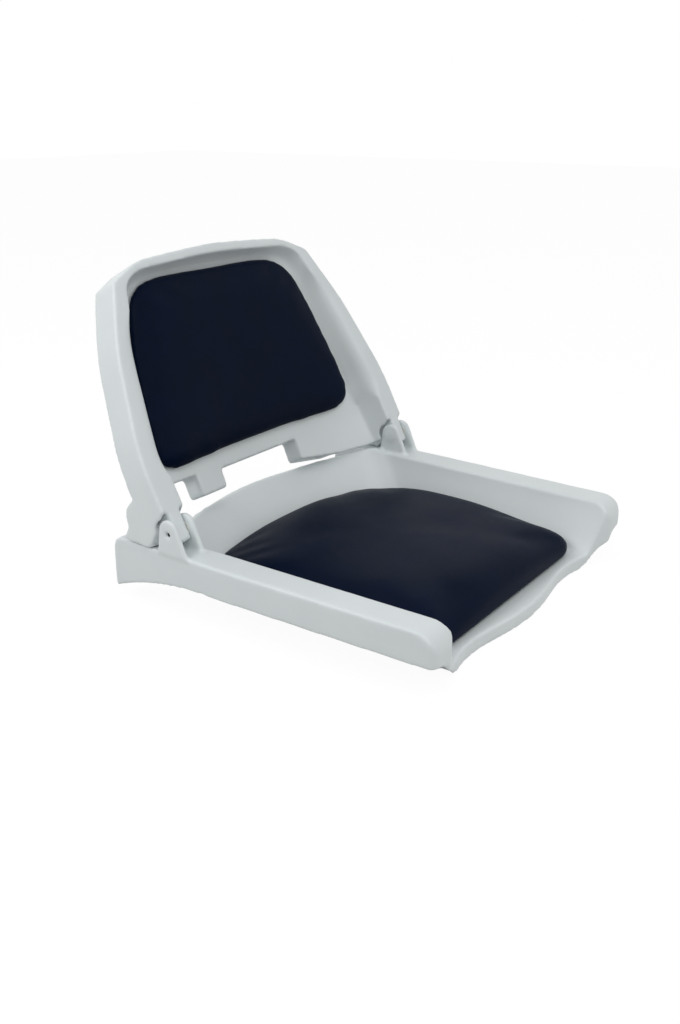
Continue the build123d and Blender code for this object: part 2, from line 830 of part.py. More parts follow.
def fixings(planes, reach, name):
    """Screws, washers and tee nuts from the washers' seats to the boards' far faces."""
    bore = screw_radius + running_gap
    head_start = -screw_washer - screw_head
    heads = [rod(plane, head_start, screw_head, screw_head_radius) for plane in planes]
    shanks = [rod(plane, -screw_washer, screw_washer + reach, screw_radius) for plane in planes]
    export_group([head + shank for head, shank in zip(heads, shanks)], name + "_screws")
    washers = [rod(plane, -screw_washer, screw_washer, screw_washer_radius, bore) for plane in planes]
    export_group(washers, name + "_washers")
    flanges = [rod(plane, reach, tee_flange, tee_flange_radius, bore) for plane in planes]
    barrels = [rod(plane, reach - tee_length, tee_length, tee_radius, bore) for plane in planes]
    export_group([flange + barrel for flange, barrel in zip(flanges, barrels)], name + "_tee_nuts")


def clearances(planes, reach):
    """Room for the tee nuts and screws in a board and in the foam over it."""
    wells = [rod(plane, reach, overrun / 2, tee_flange_radius + fit_gap) for plane in planes]
    holes = [rod(plane, -screw_washer, screw_washer + reach, tee_radius) for plane in planes]
    return wells + holes


# Seat cushion: plywood board, foam, and a cover stapled under the board's edge
seat_reach = board_base + board - pan_under
seat_planes = [Plane(origin=(x, y, pan_under)) for x, y in seat_screws]
seat_cuts = clearances(seat_planes, seat_reach)
seat_staple_planes = []
for n in range(staples_across):
    step = (n - (staples_across - 1) / 2) * staple_pitch
    front = Plane(origin=(step, staple_line - seat_pad_front, seat_base), x_dir=(1, 0, 0), z_dir=(0, 0, 1))
    seat_staple_planes.append(front)
    bow = (bowl_rear_shares[0] - bowl_side_shares[0]) * bowl_rear * (step / bowl_half) ** 2
    rear = bowl_rear * bowl_rear_shares[0] - staple_line - bow
    seat_staple_planes.append(Plane(origin=(step, rear, seat_base), x_dir=(1, 0, 0), z_dir=(0, 0, 1)))
    for hand in (-1, 1):
        place = (hand * (seat_pad_half - staple_line), step - staple_line, seat_base)
        seat_staple_planes.append(Plane(origin=place, x_dir=(0, 1, 0), z_dir=(0, 0, 1)))
seat_staples = [staple(plane) for plane in seat_staple_planes]

seat_board_blank = seat_plate(board_inset, board_base, board_base + board)
seat_board = seat_board_blank - seat_cuts - seat_staples
seat_board.label = "seat_cushion_board"
export_step(seat_board, "parts/seat_cushion_board.step")

seat_inner = seat_pad(cover)
seat_foam = seat_inner - seat_board_blank - seat_cuts[: len(seat_screws)]
seat_foam.label = "seat_cushion_foam"
export_step(seat_foam, "parts/seat_cushion_foam.step")

seat_cover = seat_pad(0) - seat_inner - seat_plate(hem, seat_base - fit_gap, board_base) - seat_staples
seat_cover.label = "seat_cushion_cover"
export_step(seat_cover, "parts/seat_cushion_cover.step")

export_group(seat_staples, "seat_cushion_staples")
fixings(seat_planes, seat_reach, "seat_cushion")

# Back cushion: stations up the back, as shares of its height, half width and rise
back_length_shares = (0.0, 0.04, 0.12, 0.30, 0.55, 0.78, 0.93, 0.98, 1.0)
back_half_shares = (0.86, 0.94, 0.985, 0.985, 0.925, 0.845, 0.77, 0.70, 0.62)
back_rise_shares = (0.36, 0.66, 0.90, 1.0, 1.0, 0.96, 0.78, 0.56, 0.38)


def back_pad(shrink):
    """The back cushion's body over the dished panel, drawn in for what it holds."""
    sections = []
    length = back_pad_high - back_pad_low - 2 * shrink
    for along, half, rise in zip(back_length_shares, back_half_shares, back_rise_shares):
        place = back_pad_low + shrink + along * length
        width = half * back_pad_half - shrink
        foot_base = -panel_depth(width, place) - wall / 2
        base = -panel_depth(0, place) - wall / 2
        height = rise * back_pad_rise + wall / 2 - shrink
        at = across(place)
        plane = Plane(origin=at.origin, x_dir=(1, 0, 0), z_dir=(-at.z_dir.X, -at.z_dir.Y, -at.z_dir.Z))
        sections.append(pad_section(plane, width, foot_base, base, height, pad_rounding * rise))
    with BuildPart() as pad:
        loft(sections=sections)
    return pad.part & panel_space(-pad_gap - shrink)


def back_plate(inset, front, rear):
    """A plate of the back cushion between two depths ahead of the panel, inset from its edge."""
    with BuildPart() as plate:
        with BuildSketch(facing(-overrun)):
            with BuildLine():
                high = back_pad_high - inset
                wide = back_pad_half * back_half_shares[2] - inset
                narrow = back_pad_half * back_half_shares[6] - inset
                lower = back_pad_low + inset
                Polyline((-wide, lower), (wide, lower), (narrow, high), (-narrow, high), close=True)
            make_face()
            fillet(vertices(), radius=board_corner)
        extrude(amount=-2 * panel_deep - overrun)
    return (plate.part & panel_space(-rear)) - panel_space(-front)


back_board_rear = pad_gap + cover
back_board_front = back_board_rear + board
back_reach = screw_boss + back_board_front
back_planes = []
for x, v in back_screws:
    seat = facing(panel_depth(x, v) + screw_boss)
    back_planes.append(Plane(origin=seat.from_local_coords((x, v, 0)), x_dir=(1, 0, 0), z_dir=out_of_rim))
back_cuts = clearances(back_planes, back_reach)

back_staple_planes = []
for n in range(staples_across):
    step = (n - (staples_across - 1) / 2) * staple_pitch
    spots = [(step, back_pad_low + staple_line, (1, 0, 0))]
    if abs(step) < back_pad_half / 2:
        spots.append((step, back_pad_high - staple_line, (1, 0, 0)))
    if n < staples_up:
        rise = back_pad_low + staple_line + (n + 1 / 2) * staple_pitch
        lean = (back_half_shares[2] - back_half_shares[6]) * back_pad_half / (back_pad_high - back_pad_low)
        edge = back_pad_half * back_half_shares[2] - staple_line - lean * (rise - back_pad_low)
        spots.append((edge, rise, up_the_back))
        spots.append((-edge, rise, up_the_back))
    for x, v, crown_dir in spots:
        place = facing(panel_depth(x, v) - pad_gap - staple_sink).from_local_coords((x, v, 0))
        back_staple_planes.append(Plane(origin=place, x_dir=crown_dir, z_dir=out_of_rim))
back_staples = [staple(plane) for plane in back_staple_planes]

back_board_blank = back_plate(board_inset, back_board_front, back_board_rear)
back_board = back_board_blank - back_cuts - back_staples
back_board.label = "back_cushion_board"
export_step(back_board, "parts/back_cushion_board.step")

back_inner = back_pad(cover)
back_foam = back_inner - back_board_blank - back_cuts
back_foam.label = "back_cushion_foam"
export_step(back_foam, "parts/back_cushion_foam.step")

back_opening = back_plate(hem, back_board_rear, pad_gap - fit_gap)
back_cover = back_pad(0) - back_inner - back_opening - back_staples
back_cover.label = "back_cushion_cover"
export_step(back_cover, "parts/back_cushion_cover.step")

export_group(back_staples, "back_cushion_staples")
fixings(back_planes, back_reach, "back_cushion")
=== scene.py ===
from math import radians, cos, sin, pi

import bpy
import numpy as np
from mathutils import Matrix, Vector


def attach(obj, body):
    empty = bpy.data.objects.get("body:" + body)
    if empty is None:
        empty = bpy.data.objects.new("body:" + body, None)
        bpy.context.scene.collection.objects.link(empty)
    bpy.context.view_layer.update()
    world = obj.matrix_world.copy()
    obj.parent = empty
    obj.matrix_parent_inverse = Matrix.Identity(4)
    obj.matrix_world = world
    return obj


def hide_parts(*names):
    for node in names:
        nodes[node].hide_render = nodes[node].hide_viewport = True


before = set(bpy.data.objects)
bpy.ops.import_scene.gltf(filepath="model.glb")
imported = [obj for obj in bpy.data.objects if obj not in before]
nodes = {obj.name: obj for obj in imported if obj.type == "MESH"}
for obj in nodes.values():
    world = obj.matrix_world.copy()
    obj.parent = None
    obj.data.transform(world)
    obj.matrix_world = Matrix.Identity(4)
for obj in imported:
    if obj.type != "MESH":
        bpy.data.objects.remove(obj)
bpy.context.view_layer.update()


# The photographer's place: in front of the seat on its left, a little above it.
# The lens is a short standard one, and the picture is upright.
camera_place = Vector((-1.0225, -0.6718, 0.5744))
camera_azimuth = radians(-54.07)
camera_height_angle = radians(21.77)
lens = 36.163
film = 36.0

right = Vector((cos(camera_azimuth), sin(camera_azimuth), 0.0))
level = Vector((-sin(camera_azimuth), cos(camera_azimuth), 0.0))
ahead = level * cos(camera_height_angle) - Vector((0, 0, sin(camera_height_angle)))
up = right.cross(ahead)
camera_data = bpy.data.cameras.new("camera")
camera_data.lens = lens
camera_data.sensor_width = film
camera = bpy.data.objects.new("camera", camera_data)
camera.matrix_world = Matrix.Translation(camera_place) @ Matrix((right, up, -ahead)).transposed().to_4x4()
bpy.context.scene.collection.objects.link(camera)
bpy.context.scene.camera = camera
bpy.context.scene.view_settings.view_transform = "Standard"


# The studio: a pale floor that the mounting face stands on, an even white surround,
# and four large soft lamps. Seen straight or in a gloss, the floor is nearly blank white.
floor_half = 9.0
floor_drop = 0.0006
floor_grey = 0.55
floor_rough = 0.9
floor_glow_strength = 1.10
floor_glow_share = 0.86
surround_light = 0.46
lamp_aim = Vector((0, 0, 0.1))


class Sock:
    """A shader value. Arithmetic on it adds the Math nodes that the expression says."""

    def __init__(self, tree, socket):
        self.tree = tree
        self.socket = socket

    def math(self, operation, *others):
        values = [self.socket] + [o.socket if isinstance(o, Sock) else o for o in others]
        return shade(self.tree, "ShaderNodeMath", {"operation": operation}, values)

    def __add__(self, other):
        return self.math("ADD", other)

    def __radd__(self, other):
        return self.math("ADD", other)

    def __sub__(self, other):
        return self.math("SUBTRACT", other)

    def __rsub__(self, other):
        return shade(self.tree, "ShaderNodeMath", {"operation": "SUBTRACT"}, [other, self.socket])

    def __mul__(self, other):
        return self.math("MULTIPLY", other)

    def __rmul__(self, other):
        return self.math("MULTIPLY", other)


def shade(tree, kind, settings, inputs, output=0):
    """Adds a node of a type with its settings, sets or links its sockets, and wraps one output."""
    node = tree.nodes.new(kind)
    for name, value in settings.items():
        setattr(node, name, value)
    pairs = inputs.items() if isinstance(inputs, dict) else enumerate(inputs)
    for key, value in pairs:
        if isinstance(value, Sock):
            value = value.socket
        if isinstance(value, bpy.types.NodeSocket):
            tree.links.new(value, node.inputs[key])
        else:
            node.inputs[key].default_value = value
    return Sock(tree, node.outputs[output])


def seen_rays(tree):
    """1 for rays that come straight from the camera or off a gloss, and 0 for all others."""
    ray = tree.nodes.new("ShaderNodeLightPath")
    return Sock(tree, ray.outputs["Is Camera Ray"]).math("MAXIMUM", Sock(tree, ray.outputs["Is Glossy Ray"]))


floor_mesh = bpy.data.meshes.new("floor")
corners = [(x * floor_half, y * floor_half, -floor_drop) for x, y in ((-1, -1), (1, -1), (1, 1), (-1, 1))]
floor_mesh.from_pydata(corners, [], [(0, 1, 2, 3)])
floor = bpy.data.objects.new("floor", floor_mesh)
bpy.context.scene.collection.objects.link(floor)
floor_material = bpy.data.materials.new("floor_paper")
floor_material.use_nodes = True
tree = floor_material.node_tree
paper = tree.nodes["Principled BSDF"]
paper.inputs["Base Color"].default_value = (floor_grey, floor_grey, floor_grey, 1)
paper.inputs["Roughness"].default_value = floor_rough
paper.inputs["Specular IOR Level"].default_value = 0.0
floor_glow = shade(tree, "ShaderNodeEmission", {}, {"Color": (1, 1, 1, 1), "Strength": floor_glow_strength})
seen = seen_rays(tree) * floor_glow_share
blank = shade(tree, "ShaderNodeMixShader", {}, [seen, paper.outputs[0], floor_glow])
tree.links.new(blank.socket, tree.nodes["Material Output"].inputs["Surface"])
floor_mesh.materials.append(floor_material)

world = bpy.data.worlds.new("surround")
bpy.context.scene.world = world
world.use_nodes = True
tree = world.node_tree
tree.nodes["Background"].inputs["Color"].default_value = (1, 1, 1, 1)
strength = seen_rays(tree) * (1.0 - surround_light) + surround_light
tree.links.new(strength.socket, tree.nodes["Background"].inputs["Strength"])

for name, place, size, power in (
    ("key_lamp", (-1.0, -1.3, 2.6), 1.8, 19.0),
    ("front_lamp", (0.2, -2.4, 1.1), 1.6, 9.0),
    ("side_lamp", (-1.3, 0.6, 1.2), 1.0, 8.5),
    ("rear_lamp", (-0.2, 1.7, 2.3), 1.6, 5.0),
):
    lamp_data = bpy.data.lights.new(name, "AREA")
    lamp_data.shape = "DISK"
    lamp_data.size = size
    lamp_data.energy = power
    lamp = bpy.data.objects.new(name, lamp_data)
    lamp.location = place
    lamp.rotation_euler = (lamp_aim - Vector(place)).to_track_quat("-Z", "Y").to_euler()
    bpy.context.scene.collection.objects.link(lamp)


# The two mouldings: seat shell and backrest shell, injection moulded in a cool white plastic.
# Their walls are 4 mm, with every edge rounded as a mould leaves it.
hinge_y = 0.134
hinge_z = 0.107
pin_radius = 0.0032
pin_hole_bottom = 0.2487
pin_hole_mouth = 0.2535
pin_hole_steps = 32
moulding_cell = 0.0016
moulding_faces = 190000
rounding_rounds = 9
rounding_share = 0.6
scoop_rounds = 240
scoop_share = 0.85


def new_material(name):
    """An empty node material with its shader and the Object coordinates that its patterns follow."""
    material = bpy.data.materials.new(name)
    material.use_nodes = True
    tree = material.node_tree
    shader = tree.nodes["Principled BSDF"]
    place = shade(tree, "ShaderNodeTexCoord", {}, {}, "Object")
    return material, tree, shader, place


def linear(colour):
    """A colour given as 0 to 255 screen values, as the linear values that shaders take."""
    c = np.array(colour, float) / 255.0
    c = np.where(c <= 0.04045, c / 12.92, ((c + 0.055) / 1.055) ** 2.4)
    return (float(c[0]), float(c[1]), float(c[2]), 1.0)


shell_white = linear((222, 228, 229))
shell_shade = linear((213, 220, 221))


def plastic_material():
    """White moulded plastic: a fine stipple, faint flow marks and slightly uneven gloss."""
    material, tree, shader, place = new_material("shell_white_plastic")
    clouds = shade(tree, "ShaderNodeTexNoise", {}, {"Vector": place, "Scale": 14.0, "Detail": 3.0})
    stipple = shade(tree, "ShaderNodeTexNoise", {}, {"Vector": place, "Scale": 900.0, "Detail": 2.0})
    scuffs = shade(tree, "ShaderNodeTexNoise", {}, {"Vector": place, "Scale": 55.0, "Detail": 6.0})
    colour = shade(
        tree, "ShaderNodeMix", {"data_type": "RGBA"},
        {"Factor": clouds, "A": shell_white, "B": shell_shade}, "Result",
    )
    tree.links.new(colour.socket, shader.inputs["Base Color"])
    gloss = 0.36 + clouds * 0.08 + scuffs * 0.06
    tree.links.new(gloss.socket, shader.inputs["Roughness"])
    bump = shade(
        tree, "ShaderNodeBump", {}, {"Strength": 0.12, "Distance": 0.0004, "Height": stipple}, "Normal"
    )
    tree.links.new(bump.socket, shader.inputs["Normal"])
    return material


def even_out(places, edges, weights, rounds):
    """Smooths places by moving each, round after round and by its weight, towards the mean of
    those joined to it."""
    a, b = edges[:, 0], edges[:, 1]
    count = np.bincount(a, minlength=len(places)) + np.bincount(b, minlength=len(places))
    count = np.maximum(count, 1)[:, None]
    size = len(places)
    for n in range(rounds):
        total = np.zeros_like(places)
        for axis in range(3):
            total[:, axis] = np.bincount(a, places[b, axis], size) + np.bincount(b, places[a, axis], size)
        places = places + (total / count - places) * weights[:, None]
    return places


def pin_holes():
    """The two drilled holes that the hinge pins are driven into, through the outer ears."""
    steps = pin_hole_steps
    turn = np.arange(steps) / steps * 2 * pi
    y, z = hinge_y + pin_radius * np.cos(turn), hinge_z + pin_radius * np.sin(turn)
    ends = (-pin_hole_mouth, -pin_hole_bottom, pin_hole_bottom, pin_hole_mouth)
    rings = [np.stack([np.full(steps, x), y, z], axis=-1) for x in ends]
    faces = []
    for start in (0, 2 * steps):
        near = list(range(start, start + steps))
        far = list(range(start + steps, start + 2 * steps))
        faces += [near[::-1], far]
        faces += [(near[n - 1], near[n], far[n], far[n - 1]) for n in range(steps)]
    mesh = bpy.data.meshes.new("pin_holes")
    mesh.from_pydata(np.concatenate(rings).tolist(), [], faces)
    mesh.update()
    drill = bpy.data.objects.new("pin_holes", mesh)
    bpy.context.scene.collection.objects.link(drill)
    return drill


def moulded(node, scoop):
    """A CAD node's surface with its edges rounded: even cells all over it, smoothed, then thinned
    where it is flat. A scoop gives the weights of a place that is smoothed much further."""
    mesh = nodes[node].data.copy()
    work = bpy.data.objects.new(node + "_work", mesh)
    bpy.context.scene.collection.objects.link(work)
    weld = work.modifiers.new("weld", "WELD")
    weld.merge_threshold = 0.00001
    cells = work.modifiers.new("cells", "REMESH")
    cells.mode = "VOXEL"
    cells.voxel_size = moulding_cell
    even = bpy.data.meshes.new_from_object(work.evaluated_get(bpy.context.evaluated_depsgraph_get()))
    places = np.zeros(len(even.vertices) * 3, np.float32)
    even.vertices.foreach_get("co", places)
    places = places.reshape(-1, 3).astype(float)
    edges = np.zeros(len(even.edges) * 2, np.int32)
    even.edges.foreach_get("vertices", edges)
    edges = edges.reshape(-1, 2)
    places = even_out(places, edges, np.full(len(places), rounding_share), rounding_rounds)
    if scoop:
        soft = scoop(places)
        chosen = np.nonzero(soft > 0.01)[0]
        order = np.full(len(places), -1)
        order[chosen] = np.arange(len(chosen))
        pairs = order[edges]
        pairs = pairs[(pairs >= 0).all(axis=1)]
        places[chosen] = even_out(places[chosen], pairs, soft[chosen] * scoop_share, scoop_rounds)
    even.vertices.foreach_set("co", places.ravel())
    even.update()
    work.modifiers.clear()
    work.data = even
    thin = work.modifiers.new("thin", "DECIMATE")
    thin.ratio = min(1.0, moulding_faces / (2 * len(even.polygons)))
    drill = pin_holes() if node == "seat_shell" else None
    if drill:
        cut = work.modifiers.new("cut", "BOOLEAN")
        cut.operation = "DIFFERENCE"
        cut.solver = "EXACT"
        cut.object = drill
    done = bpy.data.meshes.new_from_object(work.evaluated_get(bpy.context.evaluated_depsgraph_get()))
    bpy.data.objects.remove(work)
    if drill:
        bpy.data.objects.remove(drill)
    done.name = node
    done.materials.clear()
    done.polygons.foreach_set("use_smooth", [True] * len(done.polygons))
    return done


# The backrest's dish, in a frame of its own: heights up the back from the hinge axis, and
# depths behind the rim's plane. Where the scoop acts is given in the same frame.
recline = radians(27.5)
rim_ahead = 0.0083
back_height = 0.330
dish_half = 0.2175
dish_height = 0.317
dish_up_shares = np.array((-0.20, 0.268, 0.672, 0.934, 0.975, 1.0))
dish_half_shares = np.array((1.0, 1.0, 0.885, 0.763, 0.644, 0.0))
scoop_side = 0.024
scoop_top = 0.004
scoop_top_soft = 0.008
scoop_crown_start = 0.22
scoop_crown_end = 0.28
scoop_ahead = 0.006
scoop_crown_drop = 0.007
scoop_depth_soft = 0.011
scoop_foot_start = 0.060
scoop_foot_end = 0.090


def up_and_behind(places):
    """Heights up the back and depths behind the rim's plane, of points in the part's frame."""
    y, z = places[:, 1] - hinge_y, places[:, 2] - hinge_z
    return y * sin(recline) + z * cos(recline), y * cos(recline) - z * sin(recline) + rim_ahead


def ramp(values, start, end):
    """A smooth step from 0 at the start to 1 at the end."""
    t = np.clip((values - start) / (end - start), 0, 1)
    return t * t * (3 - 2 * t)


def dish_scoop(places):
    """Where the backrest's dish runs into its rim in one soft scoop: inside the dish's outline
    and a little over the rim, less so at the crown, and above the lower edge."""
    height, behind = up_and_behind(places)
    half = dish_half * np.interp(height / dish_height, dish_up_shares, dish_half_shares)
    inside = ramp(half + scoop_side - np.abs(places[:, 0]), 0, scoop_side)
    top = ramp(dish_height + scoop_top - height, 0, scoop_top_soft)
    crown = ramp(height, scoop_crown_start, scoop_crown_end)
    deep = ramp(behind + scoop_ahead - scoop_crown_drop * crown, 0, scoop_depth_soft)
    return inside * top * deep * ramp(height, scoop_foot_start, scoop_foot_end)


shell_plastic = plastic_material()
for node, body, scoop in (("seat_shell", "seat", None), ("backrest_shell", "backrest", dish_scoop)):
    shell = bpy.data.objects.new(node + "_moulding", moulded(node, scoop))
    shell.data.materials.append(shell_plastic)
    bpy.context.scene.collection.objects.link(shell)
    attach(shell, body)
    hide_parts(node)


# The cushions: foam on a board under dark navy vinyl, pulled over and stapled behind.
# Each is pumped up a little from its cut shape, as the foam fills the cover, and then
# pulled smooth again as the staples do.
pad_cell = 0.005
pad_rings = 22
pad_side_rings = 7
pad_base_rings = 12
pad_steps = 160
pad_crown_power = 0.9
pad_hold = 0.004
pad_free_share = 0.5
pad_held_share = 0.3
rounds_before = 6
rounds_after = 10
cloth_frames = 20
cloth_pressure = 4.0
navy = linear((6, 18, 41))
navy_deep = linear((3, 12, 29))


def vinyl_material():
    """Navy coated fabric: pebbled leather grain, fine creases and a soft sheen."""
    material, tree, shader, place = new_material("navy_vinyl")
    pebbles = shade(
        tree, "ShaderNodeTexVoronoi", {"feature": "DISTANCE_TO_EDGE"}, {"Vector": place, "Scale": 620.0}
    )
    soft = shade(tree, "ShaderNodeTexNoise", {}, {"Vector": place, "Scale": 24.0, "Detail": 4.0})
    stretched = shade(tree, "ShaderNodeMapping", {}, {"Vector": place, "Scale": (40.0, 260.0, 120.0)})
    creases = shade(
        tree, "ShaderNodeTexNoise", {}, {"Vector": stretched, "Scale": 1.0, "Detail": 5.0, "Distortion": 1.2}
    )
    colour = shade(
        tree, "ShaderNodeMix", {"data_type": "RGBA"}, {"Factor": soft, "A": navy_deep, "B": navy}, "Result"
    )
    tree.links.new(colour.socket, shader.inputs["Base Color"])
    gloss = 0.44 + soft * 0.12 - pebbles * 0.5
    tree.links.new(gloss.socket, shader.inputs["Roughness"])
    height = pebbles.math("MINIMUM", 0.12) * 2.0 + creases * 0.55
    bump = shade(
        tree, "ShaderNodeBump", {}, {"Strength": 0.30, "Distance": 0.0006, "Height": height}, "Normal"
    )
    tree.links.new(bump.socket, shader.inputs["Normal"])
    shader.inputs["Specular IOR Level"].default_value = 0.04
    return material


def pad_profile(square, belly):
    """A cushion's section from its middle to its foot, as shares out and up: a squared quarter
    round down to the belly, its widest place, and from there in again to the foot."""
    turn = np.linspace(0, pi / 2, pad_rings + 1)[1:]
    drop = np.linspace(0, 1, pad_side_rings + 1)[1:]
    out = np.concatenate([np.sin(turn) ** (2 / square), np.ones(pad_side_rings)])
    lift = np.concatenate([belly + (1 - belly) * np.cos(turn) ** pad_crown_power, belly * (1 - drop)])
    tuck = np.concatenate([np.zeros(pad_rings), drop**2])
    return out, lift, tuck


def closed_pad(name, profile, rim_at, place_at):
    """A closed cushion: rings of the profile from the middle of the top out to the belly and in to
    the foot, and shrinking rings back to the middle of the base."""
    out, lift, tuck = profile
    steps = pad_steps
    turn = np.arange(steps) / steps * 2 * pi
    base = np.linspace(1, 0, pad_base_rings)[1:-1]
    out = np.concatenate([out, base])
    lift = np.concatenate([lift, np.zeros(len(base))])
    tuck = np.concatenate([tuck, np.ones(len(base))])
    rings = len(out)
    share, angle = np.meshgrid(out, turn, indexing="ij")
    lift = np.repeat(lift[:, None], steps, axis=1)
    tuck = np.repeat(tuck[:, None], steps, axis=1)
    x, y, height = rim_at(angle, share, tuck)
    places = place_at(x, y, lift * height).reshape(-1, 3)
    zero = np.zeros((1, 1))
    full = rim_at(zero, zero, zero)[2]
    crest, seat = place_at(zero, zero, full).reshape(-1, 3), place_at(zero, zero, zero).reshape(-1, 3)
    index = np.arange(rings * steps).reshape(rings, steps)
    beside = np.roll(index, -1, axis=1)
    quads = np.stack([index[:-1], index[1:], beside[1:], beside[:-1]], axis=-1).reshape(-1, 4)
    top = np.stack([np.full(steps, rings * steps), index[0], beside[0]], axis=-1)
    under = np.stack([np.full(steps, rings * steps + 1), beside[-1], index[-1]], axis=-1)
    faces = [tuple(f) for part in (quads, top, under) for f in part.tolist()]
    mesh = bpy.data.meshes.new(name)
    mesh.from_pydata(np.concatenate([places, crest, seat]).tolist(), [], faces)
    mesh.update()
    return mesh


def pumped(name, mesh, held, most, room):
    """The mesh remade in even cells and blown up as cloth, with held points fixed, no point moved
    by more than the most, and all smoothed and kept in the room that the shell leaves."""
    work = bpy.data.objects.new(name, mesh)
    bpy.context.scene.collection.objects.link(work)
    cells = work.modifiers.new("cells", "REMESH")
    cells.mode = "VOXEL"
    cells.voxel_size = pad_cell
    even = bpy.data.meshes.new_from_object(work.evaluated_get(bpy.context.evaluated_depsgraph_get()))
    work.modifiers.clear()
    work.data = even
    places = np.zeros(len(even.vertices) * 3, np.float32)
    even.vertices.foreach_get("co", places)
    places = places.reshape(-1, 3).astype(float)
    edges = np.zeros(len(even.edges) * 2, np.int32)
    even.edges.foreach_get("vertices", edges)
    edges = edges.reshape(-1, 2)
    fixed = held(places)
    weights = np.where(fixed, pad_held_share, pad_free_share)
    places = even_out(places, edges, weights, rounds_before)
    even.vertices.foreach_set("co", places.ravel())
    even.update()
    group = work.vertex_groups.new(name="held")
    group.add([int(n) for n in np.nonzero(fixed)[0]], 1.0, "REPLACE")
    cloth = work.modifiers.new("cloth", "CLOTH")
    cloth.settings.quality = 6
    cloth.settings.mass = 0.4
    cloth.settings.tension_stiffness = 18
    cloth.settings.compression_stiffness = 18
    cloth.settings.bending_stiffness = 4.0
    cloth.settings.use_pressure = True
    cloth.settings.uniform_pressure_force = cloth_pressure
    cloth.settings.vertex_group_mass = "held"
    cloth.settings.effector_weights.gravity = 0
    cloth.collision_settings.use_collision = False
    cloth.point_cache.frame_start = 1
    cloth.point_cache.frame_end = cloth_frames
    for frame_number in range(1, cloth_frames + 1):
        bpy.context.scene.frame_set(frame_number)
    blown = bpy.data.meshes.new_from_object(work.evaluated_get(bpy.context.evaluated_depsgraph_get()))
    moved = np.zeros(len(blown.vertices) * 3, np.float32)
    blown.vertices.foreach_get("co", moved)
    shift = moved.reshape(-1, 3).astype(float) - places
    length = np.maximum(np.linalg.norm(shift, axis=1, keepdims=True), 1e-9)
    places = places + shift * np.minimum(1.0, most / length)
    places = even_out(places, edges, weights, rounds_after)
    work.modifiers.clear()
    bpy.context.scene.frame_set(1)
    even.vertices.foreach_set("co", room(places).ravel())
    even.update()
    even.polygons.foreach_set("use_smooth", [True] * len(even.polygons))
    finer = work.modifiers.new("finer", "SUBSURF")
    finer.levels = 1
    finer.render_levels = 1
    return work


vinyl = vinyl_material()

# The seat cushion: foam on a flat plywood board under the vinyl. It lies in the bowl, where
# screws from below hold it, and its foot is drawn in at the rear, where the bowl closes on it.
seat_base = 0.0183
seat_rise = 0.0450
seat_half_width = 0.1885
seat_front = 0.1920
seat_rear = 0.1720
seat_pump = 0.0025
seat_square = 8.0
seat_belly_share = 0.36
seat_front_corner_power = 16.0
seat_rear_corner_power = 8.0
seat_foot_side_share = 0.035
seat_foot_front_share = 0.012
seat_foot_rear_share = 0.09
seat_front_taper_share = 0.045
seat_rear_taper_share = 0.02
seat_rear_bow = 0.006
seat_crown_share = 0.01
seat_front_corner_share = 0.30
seat_rear_corner_share = 0.34
seat_front_fall_share = 0.08
seat_rear_fall_share = 0.28

# The bowl that it lies in: its size from the floor up, as the shell's
floor_top = 0.018
bowl_depth = 0.0645
bowl_half = 0.211
bowl_rear = 0.222
bowl_corner = 0.058
pad_gap = 0.0008
bowl_height_shares = np.array((0.0, 0.2, 0.5, 0.85, 1.22))
bowl_half_shares = np.array((0.858, 0.900, 0.945, 0.988, 1.012))
bowl_rear_shares = np.array((0.690, 0.785, 0.887, 1.0, 1.10))
bowl_side_shares = np.array((0.515, 0.565, 0.610, 0.662, 0.72))


def in_bowl(places):
    """Points of the cushion kept inside the bowl: pushed in from its sides, from the arc of its
    rear wall, and from the round of each rear corner."""
    x, y, z = places.T
    share = (z - floor_top) / bowl_depth
    half = bowl_half * np.interp(share, bowl_height_shares, bowl_half_shares) - pad_gap
    rear = bowl_rear * np.interp(share, bowl_height_shares, bowl_rear_shares) - pad_gap
    side = bowl_rear * np.interp(share, bowl_height_shares, bowl_side_shares) - pad_gap
    radius = (half**2 + (rear - side) ** 2) / (2 * (rear - side))
    wide = np.minimum(np.abs(x), half)
    wall_y = rear - radius + np.sqrt(radius**2 - wide**2)
    deep = np.minimum(y, wall_y)
    in_x = np.maximum(bowl_corner - (half - wide), 0)
    in_y = np.maximum(bowl_corner - (wall_y - deep), 0)
    reach = np.maximum(np.hypot(in_x, in_y), bowl_corner)
    wide = np.where(in_x > 0, wide - in_x * (1 - bowl_corner / reach), wide)
    deep = np.where(in_y > 0, deep - in_y * (1 - bowl_corner / reach), deep)
    return np.stack([np.sign(x) * wide, deep, np.maximum(z, seat_base)], axis=-1)


